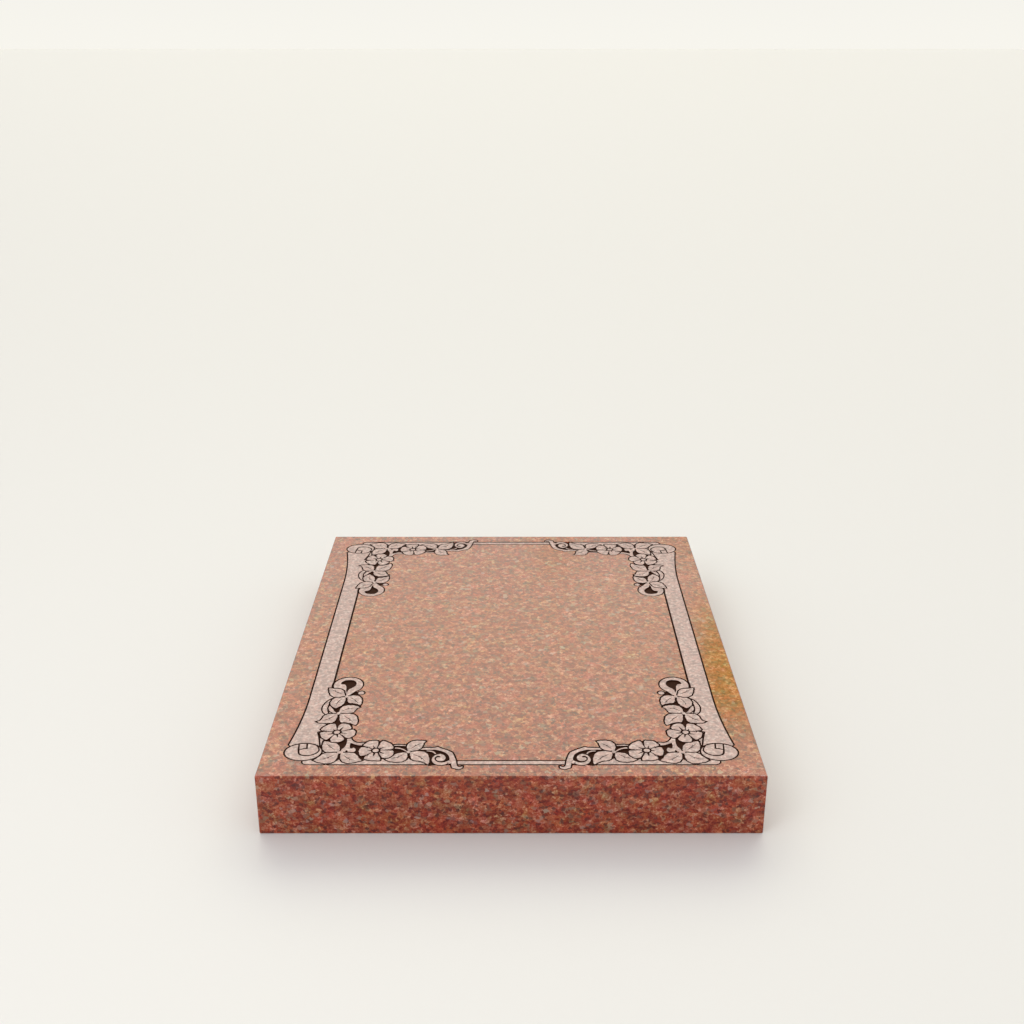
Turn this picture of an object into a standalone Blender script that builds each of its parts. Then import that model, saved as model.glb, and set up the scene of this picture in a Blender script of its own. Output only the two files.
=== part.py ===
"""Half ledger grave memorial: one polished granite slab with a scroll and flower border cut in its top.

Frame: +X to the right, +Y away from the viewer, +Z up, origin at the middle of the underside.
The ornament is laid out in millimetres from the front left corner, x to the right and y away,
and the other three corners are mirror images of that one.
"""
import math

import bmesh
import bpy
import numpy as np
from mathutils import Vector
from mathutils.geometry import delaunay_2d_cdt

for old in list(bpy.data.objects):
    bpy.data.objects.remove(old, do_unlink=True)

MM = 0.001

# the stone
WIDTH = 0.762
LENGTH = 0.9144
THICKNESS = 0.1016
ARRIS = 0.0025

# the cutting, all depths below the polished top
FROST_DEPTH = 0.8
CUT_DEPTH = 2.6
OUTLINE_WIDTH = 2.4
BAND_LINE_WIDTH = 2.8
FINE_WIDTH = 2.0
EYE_WALL = 1.5
STROKE_WIDTH = 1.8

# the quarter of the top that is drawn, from the corner to the middle of the stone
LOW = np.array([ARRIS / MM, ARRIS / MM])
HIGH = np.array([WIDTH / MM / 2, LENGTH / MM / 2])

# how near points of the map are taken as one, and the passes that draw them together
ON_LINE = 0.01
CROSSING = 0.0001
CENTRE_NEAR = 0.35
SIDE_NEAR = 0.6
CROWD = 1.1
SAME_LEVEL = 0.3
MAP_PASSES = 2

# the side scroll, a long strip that ends in a rolled curl near each corner
STRIP_OUTER_X = 47.5
STRIP_INNER_X = 81.3
STRIP_HIDDEN_X = 92.0
STRIP_FLARE_Y = 230.0
STRIP_FLARE_END_Y = 90.0
STRIP_FLARE_RADIUS = 885.0
STRIP_FLARE_STEPS = 4
STRIP_TURN = ((86.0, 82.0), (82.0, 102.0), (76.5, 123.0))
STRIP_HIDDEN_Y = (130.0, 255.0)
STRIP_SHOWS_Y = 262.0
OVERRUN = 20.0
ROLL_CENTRE = (62.0, 67.0)
ROLL_RADII = (29.0, 24.0)
ROLL_FOLD = ((53.0, 91.0), (54.0, 72.0), (60.0, 59.0), (74.0, 57.5), (85.0, 69.0), (82.0, 83.0))
ROLL_TAB = ((65.0, 91.5), (65.3, 87.0), (66.5, 77.0), (58.0, 74.5), (54.0, 73.0))

# the band along the front and back
BAND_LOW_Y = 32.0
BAND_HIGH_Y = 43.0
BAND_HIDDEN_Y = 55.0
BAND_HIDDEN_X = (93.5, 252.0)
BAND_START_X = 63.5
BAND_SHOWS_X = 292.0
BAND_END_RADIUS = 9.0

# the two five-petal flowers of a corner: centre, radius, angle of the first notch
FLOWERS = (((106.0, 123.0), 28.5, 170.0), ((171.5, 71.5), 28.5, 151.0))
NOTCH_DEPTH = 4.5
DISC_RADIUS = 5.6
PETAL_LINE = (7.5, 13.0, 22.0)
PETAL_LINE_END_WIDTH = 1.0

# leaves: where each springs from, its point, its full belly and its lean one;
# the full belly lies left of the way to the point when positive, right of it when negative
LEAVES = (
    ((116.0, 63.0), (80.0, 44.0), 19.5, 10.5),
    ((119.0, 63.0), (156.0, 43.0), -18.0, 10.0),
    ((117.0, 67.0), (90.5, 96.0), 16.5, 14.0),
    ((101.0, 181.0), (68.0, 155.5), 21.5, 7.5),
    ((104.0, 178.0), (133.0, 143.0), 17.5, 10.5),
    ((103.0, 183.0), (134.5, 199.0), 17.5, 10.0),
    ((106.0, 231.0), (95.0, 196.0), -21.0, 8.0),
    ((110.0, 231.0), (133.0, 205.0), 19.0, 12.0),
    ((106.0, 236.0), (75.0, 262.0), 17.0, 11.5),
    ((222.0, 69.0), (249.0, 98.0), 17.0, 10.5),
    ((222.0, 66.0), (190.0, 46.5), 19.0, 6.5),
    ((225.0, 66.0), (255.0, 34.0), 19.0, 10.0),
)
FULL_POWER = 0.7
FULL_AT = 0.46
LEAN_AT = 0.41
LEAF_STEPS = 5

# stalks and ribbons: three or four points of the middle line and the width at each end
RIBBONS = (
    (((119.0, 66.0), (130.0, 88.0), (128.0, 110.0)), 3.5, 6.5),
    (((129.5, 106.0), (137.0, 92.5), (156.0, 88.0)), 5.0, 7.0),
    (((84.0, 176.0), (74.5, 200.0), (90.0, 229.0)), 6.5, 6.0),
    (((99.0, 181.0), (88.0, 191.0), (86.5, 212.0)), 4.5, 3.5),
    (((197.0, 76.5), (207.0, 77.5), (221.0, 69.0)), 5.0, 4.5),
    (((197.0, 85.2), (208.0, 85.4), (220.0, 84.6)), 5.0, 4.6),
    (((252.0, 71.0), (262.0, 68.0), (267.0, 60.0)), 5.0, 3.0),
)

# small round knobs where a ribbon ends: centre and radius
BALLS = (((137.5, 71.0), 6.5), ((130.5, 245.0), 6.3))

# dark sunk patches between the leaves, each drawn wide and then overlapped by its neighbours
PATCHES = (
    ((106.0, 92.0), (119.0, 68.0), (127.0, 78.0), (131.0, 98.0), (124.0, 112.0)),
    ((130.0, 97.0), (130.0, 77.0), (148.0, 74.0), (153.0, 88.0)),
    ((120.0, 62.0), (129.0, 74.0), (138.0, 62.0)),
    ((113.0, 66.0), (118.0, 43.0), (124.0, 66.0)),
    ((219.0, 66.0), (226.0, 46.0), (231.0, 66.0)),
    ((141.0, 66.0), (152.0, 62.0), (160.0, 49.0), (150.0, 44.0)),
    ((104.0, 178.0), (95.0, 152.0), (104.0, 138.0), (115.0, 152.0)),
    ((87.0, 96.0), (92.0, 106.0), (101.0, 98.0), (96.0, 90.0)),
    ((83.0, 151.0), (89.0, 139.0), (96.0, 151.0)),
    ((117.0, 152.0), (130.0, 150.0), (127.0, 137.0)),
    ((78.0, 218.0), (80.0, 188.0), (97.0, 178.0), (88.0, 196.0)),
    ((90.0, 196.0), (98.0, 180.0), (106.0, 200.0), (131.0, 203.0), (129.0, 211.0), (106.0, 216.0)),
    ((194.0, 76.0), (194.0, 64.0), (221.0, 64.0), (214.0, 75.0)),
    ((194.0, 84.0), (194.0, 77.0), (221.0, 74.0), (221.0, 83.5)),
    ((244.0, 75.0), (258.0, 33.0), (284.0, 36.0), (288.0, 58.0), (272.0, 74.0)),
    ((114.0, 236.0), (121.0, 250.0), (131.0, 245.0), (126.0, 235.0)),
)

# the frosted ground that the leaves and patches lie on
GROUND = ((90.0, 50.0), (250.0, 48.0), (250.0, 75.0), (121.0, 78.0), (121.0, 236.0), (86.0, 236.0),
          (84.0, 136.0), (73.0, 122.0), (84.0, 66.0))

# the curl above the side leaves: a rounded hook with a dark comma and a ball end
CURL_CENTRE = (106.5, 271.5)
CURL_RADIUS = 25.5
CURL_NECK = ((103.5, 243.0), (105.5, 234.0), (112.5, 236.5), (119.0, 244.0))
CURL_EYE = (107.0, 274.0)
CURL_EYE_RADIUS = 13.0
CURL_BALL = (96.5, 266.5)
CURL_BALL_RADIUS = 9.0

# the scroll that ends the front band's leaves: an arched ribbon over a ringed spiral
ARCH = ((244.0, 75.5), (262.0, 77.0), (278.0, 72.0), (289.0, 58.0), (293.0, 40.0),
        (295.0, 27.0), (301.0, 22.5), (306.5, 26.5))
ARCH_WIDTHS = (7.0, 7.5, 8.5, 10.0, 10.0, 9.0, 6.0, 3.5)
RING_CENTRE = (272.0, 46.5)
RING_RADIUS = 15.0
SPIRAL_CENTRE = (272.8, 49.5)
SPIRAL_RADII = (15.0, 1.5)
SPIRAL_TURNS = 1.35
SPIRAL_START = 60.0
SPIRAL_WIDTHS = (5.5, 1.4)
SPIRAL_POINTS = 9


def curve(points, steps):
    """A smooth line through the given points, each span cut into the given number of steps."""
    points = [np.array(point, float) for point in points]
    ends = [2 * points[0] - points[1]] + points + [2 * points[-1] - points[-2]]
    line = []
    for i in range(1, len(ends) - 2):
        a, b, c, d = ends[i - 1:i + 3]
        for j in range(steps):
            t = j / steps
            line.append(0.5 * (2 * b + (c - a) * t + (2 * a - 5 * b + 4 * c - d) * t ** 2
                               + (3 * b - a - 3 * c + d) * t ** 3))
    line.append(points[-1])
    return np.array(line)


def normals(line, closed):
    """Left-hand unit normals of a line at its points, stretched a little at corners."""
    if closed:
        before = np.roll(line, 1, axis=0)
        after = np.roll(line, -1, axis=0)
    else:
        before = np.vstack([line[:1], line[:-1]])
        after = np.vstack([line[1:], line[-1:]])
    first = line - before
    second = after - line
    if not closed:
        first[0] = second[0]
        second[-1] = first[-1]
    first = first / np.maximum(np.hypot(*first.T), 1e-9)[:, None]
    second = second / np.maximum(np.hypot(*second.T), 1e-9)[:, None]
    middle = first + second
    size = np.maximum(np.hypot(*middle.T), 0.5)
    middle = middle / size[:, None]
    stretch = np.minimum(2 / size, 1.6)[:, None]
    return np.stack([-middle[:, 1], middle[:, 0]], axis=1) * stretch


def leaf(root, tip, full, lean):
    """A pointed leaf with one full belly and one lean one."""
    root = np.array(root, float)
    along = np.array(tip, float) - root
    across = np.array([-along[1], along[0]]) / np.hypot(*along)
    side = math.copysign(1, full)
    outline = [root]
    for i in range(1, LEAF_STEPS):
        t = (1 - math.cos(math.pi * i / LEAF_STEPS)) / 2
        swell = math.sin(math.pi * t ** (math.log(0.5) / math.log(FULL_AT))) ** FULL_POWER
        outline.append(root + along * t + across * full * swell)
    outline.append(np.array(tip, float))
    for i in range(LEAF_STEPS - 1, 0, -1):
        t = (1 - math.cos(math.pi * i / LEAF_STEPS)) / 2
        swell = math.sin(math.pi * t ** (math.log(0.5) / math.log(LEAN_AT)))
        outline.append(root + along * t - across * side * lean * swell)
    return np.array(outline)


def flower(centre, radius, first_notch):
    """The outline of five broad petals parted by small notches."""
    outline = []
    for petal in range(5):
        for u, drop in ((0.0, NOTCH_DEPTH), (0.14, 0.6), (0.5, -0.6), (0.86, 0.6)):
            angle = math.radians(first_notch + 72 * (petal + u))
            reach = radius - drop
            outline.append((centre[0] + reach * math.cos(angle), centre[1] + reach * math.sin(angle)))
    return np.array(outline)


def ring(centre, radii, count, start=0.0, stop=360.0):
    """Points round a circle or ellipse, the last left out for a full turn."""
    full = abs(stop - start) >= 360
    outline = []
    for i in range(count):
        angle = math.radians(start + (stop - start) * i / (count if full else count - 1))
        outline.append((centre[0] + radii[0] * math.cos(angle), centre[1] + radii[1] * math.sin(angle)))
    return np.array(outline)


def ribbon(points, widths, steps):
    """The closed outline of a band of changing width that follows a smooth line."""
    line = curve(points, steps)
    reach = np.interp(np.linspace(0, 1, len(line)), np.linspace(0, 1, len(widths)), widths)
    push = normals(line, False) * reach[:, None] / 2
    return np.vstack([line + push, (line - push)[::-1]])


def side_strip():
    """The long strip: straight at the middle of the stone, flared where it turns into the roll."""
    outline = [(STRIP_OUTER_X, HIGH[1] + OVERRUN)]
    for i in range(STRIP_FLARE_STEPS + 1):
        fall = (STRIP_FLARE_Y - STRIP_FLARE_END_Y) * i / STRIP_FLARE_STEPS
        outline.append((STRIP_OUTER_X - fall ** 2 / (2 * STRIP_FLARE_RADIUS), STRIP_FLARE_Y - fall))
    outline.append(ROLL_CENTRE)
    outline.append((ROLL_CENTRE[0] + ROLL_RADII[0], ROLL_CENTRE[1]))
    outline.extend(STRIP_TURN)
    outline.extend([(STRIP_HIDDEN_X, y) for y in STRIP_HIDDEN_Y])
    outline.extend([(STRIP_INNER_X, STRIP_SHOWS_Y), (STRIP_INNER_X, HIGH[1] + OVERRUN)])
    return outline


def front_band():
    """The narrow band along the front, rounded off at its left end."""
    past = HIGH[0] + OVERRUN
    outline = [(past, BAND_HIGH_Y), (BAND_SHOWS_X, BAND_HIGH_Y), (BAND_HIDDEN_X[1], BAND_HIDDEN_Y),
               (BAND_HIDDEN_X[0], BAND_HIDDEN_Y), (BAND_START_X, BAND_HIGH_Y)]
    for angle in (0.0, 45.0, 90.0):
        outline.append((BAND_START_X + BAND_END_RADIUS * (1 - math.cos(math.radians(angle))),
                        BAND_LOW_Y + BAND_END_RADIUS * (1 - math.sin(math.radians(angle)))))
    outline.append((past, BAND_LOW_Y))
    return outline


def comma():
    """The dark eye of the curl: most of a circle, drawn out to a tail past the ball end."""
    eye = ring(CURL_EYE, (CURL_EYE_RADIUS, CURL_EYE_RADIUS), 7, 165.0, -50.0)
    ball = ring(CURL_BALL, (CURL_BALL_RADIUS, CURL_BALL_RADIUS), 4, -40.0, 95.0)
    tail = np.array([(105.0, 249.0), (102.5, 256.0)])
    return np.vstack([eye, tail, ball])


def curl():
    """The curl's own outline: most of a circle with the neck that joins it to its stalk."""
    return np.vstack([ring(CURL_CENTRE, (CURL_RADIUS, CURL_RADIUS), 13, -52.0, 262.0), CURL_NECK])


def spiral():
    """The middle line and widths of the dark gap that winds into the ring."""
    line = []
    widths = []
    for i in range(SPIRAL_POINTS):
        left = 1 - i / (SPIRAL_POINTS - 1)
        angle = math.radians(SPIRAL_START - 360 * SPIRAL_TURNS * (1 - left))
        reach = SPIRAL_RADII[1] + (SPIRAL_RADII[0] - SPIRAL_RADII[1]) * left ** 0.8
        line.append((SPIRAL_CENTRE[0] + reach * math.cos(angle), SPIRAL_CENTRE[1] + reach * math.sin(angle)))
        widths.append(max(SPIRAL_WIDTHS[1], SPIRAL_WIDTHS[0] * left ** 1.2))
    return np.array(line), widths


# every shape in the order it is laid down, so that a later one covers an earlier one;
# a face is frosted with a cut line round it, a patch is sunk, a line is cut and covers nothing
shapes = []


def turned_left(outline):
    """The same closed outline, run round so that its inside lies to the left."""
    outline = np.array(outline, float)
    x, y = outline.T
    area = np.sum(x * np.roll(y, -1) - y * np.roll(x, -1))
    return outline if area > 0 else outline[::-1]


def add_face(outline, line_width):
    """Lay down a frosted face with a cut line round it."""
    shapes.append(("face", turned_left(outline), line_width / 2))


def add_patch(outline, wall=0.0):
    """Lay down a sunk patch, whose rim slopes over the given width where nothing covers it."""
    shapes.append(("patch", turned_left(outline), wall))


def add_line(line, widths):
    """Lay down a cut line of changing width."""
    reach = np.interp(np.linspace(0, 1, len(line)), np.linspace(0, 1, len(widths)), widths)
    shapes.append(("line", np.array(line, float), reach / 2))


add_face(GROUND, FINE_WIDTH)
add_face(side_strip(), OUTLINE_WIDTH)
add_face(front_band(), BAND_LINE_WIDTH)
add_face(ring(ROLL_CENTRE, ROLL_RADII, 13), OUTLINE_WIDTH)
add_line(curve(ROLL_FOLD, 2), (STROKE_WIDTH, 2.4, STROKE_WIDTH))
add_line(ROLL_TAB, (STROKE_WIDTH, STROKE_WIDTH))
for patch in PATCHES:
    add_patch(patch)
for points, near_width, far_width in RIBBONS:
    add_face(ribbon(points, (near_width, far_width), 2), FINE_WIDTH)
for centre, radius in BALLS:
    add_face(ring(centre, (radius, radius), 8), FINE_WIDTH)
add_face(curl(), FINE_WIDTH)
add_patch(comma(), EYE_WALL)
for root, tip, full, lean in LEAVES:
    add_face(leaf(root, tip, full, lean), FINE_WIDTH)
add_face(ribbon(ARCH, ARCH_WIDTHS, 2), FINE_WIDTH)
add_face(ring(RING_CENTRE, (RING_RADIUS, RING_RADIUS), 10), FINE_WIDTH)
add_line(*spiral())
for centre, radius, first_notch in FLOWERS:
    add_face(flower(centre, radius, first_notch), FINE_WIDTH)
    for petal in range(5):
        angle = math.radians(first_notch + 72 * petal)
        way = np.array([math.cos(angle), math.sin(angle)])
        add_line([np.array(centre) + way * reach for reach in PETAL_LINE],
                 (PETAL_LINE_END_WIDTH, STROKE_WIDTH, PETAL_LINE_END_WIDTH))
    add_face(ring(centre, (DISC_RADIUS, DISC_RADIUS), 7), STROKE_WIDTH)


def inside(points, polygon):
    """Which points lie inside a closed outline."""
    x = points[:, 0][:, None]
    y = points[:, 1][:, None]
    ax, ay = polygon.T
    bx, by = np.roll(polygon, -1, axis=0).T
    crosses = (ay > y) != (by > y)
    rise = np.where(np.abs(by - ay) < 1e-12, 1e-12, by - ay)
    return (np.sum(crosses & (x < (bx - ax) * (y - ay) / rise + ax), axis=1) % 2).astype(bool)


def nearest(points, line, closed):
    """Distance of each point from a line, with the place along it."""
    start = line if closed else line[:-1]
    end = np.roll(line, -1, axis=0) if closed else line[1:]
    way = end - start
    length2 = np.maximum((way ** 2).sum(1), 1e-12)
    rel = points[:, None] - start[None]
    t = np.clip((rel * way).sum(2) / length2, 0, 1)
    gap = np.sqrt(((rel - t[..., None] * way) ** 2).sum(2))
    best = gap.argmin(1)
    rows = np.arange(len(points))
    return gap[rows, best], best + t[rows, best]


def heights(points):
    """Depth of the cut top at each point: the polished level is zero."""
    base = np.zeros(len(points))
    part_way = np.ones(len(points))
    for kind, outline, reach in shapes:
        gap, at = nearest(points, outline, kind != "line")
        if kind == "line":
            last = len(outline) - 1
            half = np.interp(at, np.arange(last + 1), reach)
            fade = 1 - np.minimum(1, np.minimum(at, last - at))
            part_way = np.minimum(part_way, np.maximum(gap / half, fade))
            continue
        within = inside(points, outline) & (gap > ON_LINE)
        part_way[within] = 1
        if kind == "face":
            base[within] = -FROST_DEPTH
            part_way = np.minimum(part_way, gap / reach)
        else:
            share = np.clip(gap / max(reach, ON_LINE), 0, 1)
            base[within] += ((-CUT_DEPTH - base) * share)[within]
    return -CUT_DEPTH + (base + CUT_DEPTH) * np.clip(part_way, 0, 1)


def cut_up(line, polygons):
    """The pieces of a line that lie outside later outlines and inside the quarter."""
    pieces = []
    for a, b in zip(line[:-1], line[1:]):
        way = b - a
        marks = [0.0, 1.0]
        for k in (0, 1):
            for limit in (LOW[k], HIGH[k]):
                if abs(way[k]) > 1e-9:
                    marks.append((limit - a[k]) / way[k])
        for polygon in polygons:
            span = np.roll(polygon, -1, axis=0) - polygon
            off = polygon - a
            cross = way[0] * span[:, 1] - way[1] * span[:, 0]
            safe = np.where(np.abs(cross) < 1e-9, 1.0, cross)
            t = (off[:, 0] * span[:, 1] - off[:, 1] * span[:, 0]) / safe
            u = (off[:, 0] * way[1] - off[:, 1] * way[0]) / safe
            met = (np.abs(cross) > 1e-9) & (u >= -1e-6) & (u <= 1 + 1e-6)
            marks.extend(t[met].tolist())
        marks = sorted(mark for mark in marks if 0 <= mark <= 1)
        for first, last in zip(marks[:-1], marks[1:]):
            middle = (a + way * (first + last) / 2)[None]
            if last - first < 1e-6 or np.any(middle < LOW) or np.any(middle > HIGH):
                continue
            if not any(inside(middle, polygon)[0] for polygon in polygons):
                pieces.append((a + way * first, a + way * last))
    return pieces


def closed_line(outline):
    """An outline with its first point again at the end."""
    return np.vstack([outline, outline[:1]])


def snapped(point, known, near):
    """The place of a point in the list of known ones, added if none lies near it."""
    gaps = np.hypot(*(np.array(known) - point).T)
    best = int(gaps.argmin())
    if gaps[best] < near:
        return best
    known.append(point)
    return len(known) - 1


def laid_lines():
    """The visible lines of all shapes, as points and the edges between them."""
    known = [LOW, np.array([HIGH[0], LOW[1]]), HIGH, np.array([LOW[0], HIGH[1]])]
    edges = [(0, 1), (1, 2), (2, 3), (3, 0)]

    def lay(line, covers, side):
        for a, b in cut_up(line, covers):
            if side == "outer" and heights((a + b)[None] / 2)[0] < ON_LINE - CUT_DEPTH:
                continue
            ends = [snapped(end, known, SIDE_NEAR if side else CENTRE_NEAR) for end in (a, b)]
            if ends[0] != ends[1]:
                edges.append(tuple(ends))

    for place in range(len(shapes) - 1, -1, -1):
        kind, outline, reach = shapes[place]
        above = [shape for shape in shapes[place + 1:] if shape[0] != "line"]
        covers = [shape[1] for shape in above]
        wide = [shape[1] - normals(shape[1], True) * shape[2] for shape in above]
        if kind == "line":
            lay(outline, covers, "")
            push = normals(outline, False) * reach[:, None]
            push[[0, -1]] = 0
            lay(closed_line(np.vstack([outline + push, (outline - push)[-2:0:-1]])), wide, "side")
            continue
        lay(closed_line(outline), covers, "")
        push = normals(outline, True) * reach
        for side, way in (("inner", 1), ("outer", -1)):
            moved = outline + push * way
            kept = nearest(moved, outline, True)[0] > 0.85 * reach
            if reach and kept.sum() > 2 and (kind == "face" or side == "inner"):
                lay(closed_line(moved[kept]), wide, side)
    return np.array(known), edges


def drawn_together(points, edges):
    """The same lines with points that crowd at one level made one."""
    level = heights(points)
    on_rim = np.any((np.abs(points - LOW) < ON_LINE) | (np.abs(points - HIGH) < ON_LINE), axis=1)
    kept = []
    place = np.zeros(len(points), int)
    for i in np.lexsort((level, ~on_rim)):
        if kept and not on_rim[i]:
            gaps = np.hypot(*(points[kept] - points[i]).T)
            same = np.abs(level[kept] - level[i]) < SAME_LEVEL
            close = (gaps < CENTRE_NEAR) | ((gaps < CROWD) & same)
            if close.any():
                place[i] = int(np.where(close, gaps, np.inf).argmin())
                continue
        place[i] = len(kept)
        kept.append(i)
    joined = {tuple(sorted((place[a], place[b]))) for a, b in edges if place[a] != place[b]}
    return points[kept], sorted(joined)


def quarter_map():
    """The flat triangle map of the front left quarter, in millimetres from the corner."""
    points, edges = laid_lines()
    for _ in range(MAP_PASSES):
        flat = delaunay_2d_cdt([Vector(point) for point in points], edges, [], 0, CROSSING)
        drawn = [edge for edge, source in zip(flat[1], flat[4]) if source]
        points, edges = drawn_together(np.array([tuple(point) for point in flat[0]]), drawn)
    flat = delaunay_2d_cdt([Vector(point) for point in points], edges, [], 0, CROSSING)
    return np.array([tuple(point) for point in flat[0]]), [tuple(face) for face in flat[2]]


def build_slab():
    """The slab: the cut top in four mirrored quarters, an eased edge, plain sides and underside."""
    points, faces = quarter_map()
    depth = heights(points)
    mesh = bmesh.new()
    for flip_x in (1, -1):
        for flip_y in (1, -1):
            made = []
            for (x, y), z in zip(points, depth):
                made.append(mesh.verts.new((flip_x * (x * MM - WIDTH / 2),
                                            flip_y * (y * MM - LENGTH / 2), THICKNESS + z * MM)))
            for face in faces:
                corners = [made[i] for i in face]
                if flip_x * flip_y < 0:
                    corners.reverse()
                mesh.faces.new(corners)
    bmesh.ops.remove_doubles(mesh, verts=mesh.verts[:], dist=0.00002)
    bmesh.ops.recalc_face_normals(mesh, faces=mesh.faces[:])
    top = [edge for edge in mesh.edges if edge.is_boundary]
    for drop, spread in ((ARRIS, ARRIS), (THICKNESS, 0)):
        made = bmesh.ops.extrude_edge_only(mesh, edges=top)["geom"]
        for item in made:
            if isinstance(item, bmesh.types.BMVert):
                item.co.z = THICKNESS - drop
                if abs(item.co.x) > WIDTH / 4:
                    item.co.x += spread * math.copysign(1, item.co.x)
                if abs(item.co.y) > LENGTH / 4:
                    item.co.y += spread * math.copysign(1, item.co.y)
        top = [item for item in made if isinstance(item, bmesh.types.BMEdge) and item.is_boundary]
    bmesh.ops.holes_fill(mesh, edges=top, sides=0)
    bmesh.ops.recalc_face_normals(mesh, faces=mesh.faces[:])
    data = bpy.data.meshes.new("ledger_slab")
    mesh.to_mesh(data)
    mesh.free()
    slab = bpy.data.objects.new("ledger_slab", data)
    bpy.context.collection.objects.link(slab)
    return slab


slab = build_slab()
granite = bpy.data.materials.new("polished_red_granite")
granite.use_nodes = True
shader = granite.node_tree.nodes["Principled BSDF"]
shader.inputs["Base Color"].default_value = (0.30, 0.10, 0.06, 1)
shader.inputs["Roughness"].default_value = 0.12
shader.inputs["Metallic"].default_value = 0.0
slab.data.materials.append(granite)
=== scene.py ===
"""Looks of a half ledger grave memorial: a polished red granite slab with a scroll and flower border.

Places in the ornament are in millimetres from the slab's front left corner, x to the right and
y away from the viewer. Only that quarter is drawn. The rest of the top is its mirror image.
"""
import math
import bpy
import numpy as np
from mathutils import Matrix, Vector
from mathutils.geometry import delaunay_2d_cdt
from mathutils.kdtree import KDTree


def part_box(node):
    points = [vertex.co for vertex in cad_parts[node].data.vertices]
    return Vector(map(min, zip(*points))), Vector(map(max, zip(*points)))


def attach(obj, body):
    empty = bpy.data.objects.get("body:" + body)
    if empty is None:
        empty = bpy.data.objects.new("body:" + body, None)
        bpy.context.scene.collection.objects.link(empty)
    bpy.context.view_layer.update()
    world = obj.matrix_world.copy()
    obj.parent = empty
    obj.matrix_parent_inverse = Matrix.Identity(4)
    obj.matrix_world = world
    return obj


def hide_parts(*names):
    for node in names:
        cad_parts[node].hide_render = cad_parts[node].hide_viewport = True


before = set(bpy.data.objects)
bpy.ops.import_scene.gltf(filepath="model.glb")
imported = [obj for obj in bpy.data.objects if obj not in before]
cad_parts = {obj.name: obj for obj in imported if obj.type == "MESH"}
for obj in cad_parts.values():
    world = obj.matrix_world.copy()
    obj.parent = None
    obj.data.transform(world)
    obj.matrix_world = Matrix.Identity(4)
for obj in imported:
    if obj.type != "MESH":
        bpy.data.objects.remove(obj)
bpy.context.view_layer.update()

bpy.ops.object.select_all(action="DESELECT")
scene = bpy.context.scene
scene.view_settings.view_transform = "Standard"

# Camera. It stands two metres in front of the slab's middle at chest height and looks down at it,
# with the slab's front edge level and its long way running from the lens.
bpy.ops.object.camera_add(location=(0.0005, -2.0131, 1.1461),
                          rotation=(math.radians(68.212), 0, math.radians(-0.025)))
camera = bpy.context.object
camera.data.lens = 43.456
camera.data.sensor_width = 36
scene.camera = camera

# The slab blank. One block of red granite, sawn to size and polished on the top and sides.
# Its edges are eased by hand with a stone, and its underside lies flat on the ground.
low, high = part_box("ledger_slab")
width, length, thickness = high - low
eased = 0.002
level_slack = 0.0001

bpy.ops.mesh.primitive_cube_add(size=1, location=(0, 0, thickness / 2), scale=(width, length, thickness))
slab = bpy.context.object
slab.name = "granite_ledger"
bpy.ops.object.transform_apply(location=True, rotation=True, scale=True)
bpy.ops.object.mode_set(mode="EDIT")
bpy.ops.mesh.select_all(action="SELECT")
bpy.ops.mesh.bevel(offset=eased, segments=4, profile=0.5, affect="EDGES")
bpy.ops.mesh.select_all(action="DESELECT")
bpy.ops.object.mode_set(mode="OBJECT")
for face in slab.data.polygons:
    face.select = face.normal.z > 0.999 and face.center.z > thickness - level_slack
bpy.ops.object.mode_set(mode="EDIT")
bpy.ops.mesh.delete(type="ONLY_FACE")
bpy.ops.mesh.select_mode(type="EDGE")
bpy.ops.mesh.select_all(action="DESELECT")
bpy.ops.mesh.select_non_manifold()
bpy.ops.mesh.subdivide(number_cuts=1)
bpy.ops.object.mode_set(mode="OBJECT")

# The side scrolls. A long strip runs down each side and rolls up at its ends like paper.
# It is sandblasted through a stencil just below the polish, with a dark V cut round it.
mm = 0.001
frost_depth = 0.15
cut_depth = 2.6
outline_cut = 2.7
point_gap = 1.25
near_corner = np.array([eased / mm, eased / mm])
middle = np.array([width / mm / 2, length / mm / 2])
overrun = 20.0
line_step = 6.0
laid = []


def smooth(points, gap=point_gap):
    """A smooth line through the given points, stepped evenly."""
    points = [np.array(point, float) for point in points]
    ends = [2 * points[0] - points[1]] + points + [2 * points[-1] - points[-2]]
    fine = []
    for a, b, c, d in zip(ends, ends[1:], ends[2:], ends[3:]):
        for t in np.arange(0, 1, 0.05):
            fine.append(0.5 * (2 * b + (c - a) * t + (2 * a - 5 * b + 4 * c - d) * t ** 2
                               + (3 * b - a - 3 * c + d) * t ** 3))
    fine = np.array(fine + [points[-1]])
    run = np.append(0, np.cumsum(np.hypot(*np.diff(fine, axis=0).T)))
    steps = max(1, round(run[-1] / gap))
    places = np.linspace(0, run[-1], steps + 1)
    return np.stack([np.interp(places, run, fine[:, 0]), np.interp(places, run, fine[:, 1])], axis=1)


def arc(centre, radii, start, stop, gap=point_gap):
    """Part of a circle or ellipse, stepped evenly."""
    steps = max(3, round(abs(math.radians(stop - start)) * max(radii) / gap))
    turn = np.radians(np.linspace(start, stop, steps + 1))
    return np.stack([centre[0] + radii[0] * np.cos(turn), centre[1] + radii[1] * np.sin(turn)], axis=1)


def closed(*sides):
    """One closed outline from lines set end to end, its inside to the left."""
    outline = np.vstack([np.array(side, float) for side in sides])
    gaps = np.hypot(*(outline - np.roll(outline, 1, axis=0)).T)
    outline = outline[gaps > 0.01]
    x, y = outline.T
    area = np.sum(x * np.roll(y, -1) - y * np.roll(x, -1))
    return outline if area > 0 else outline[::-1]


def lay_face(outline, cut):
    """A frosted face with a painted cut of the given width round it."""
    laid.append(("face", outline, cut / 2))


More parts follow.
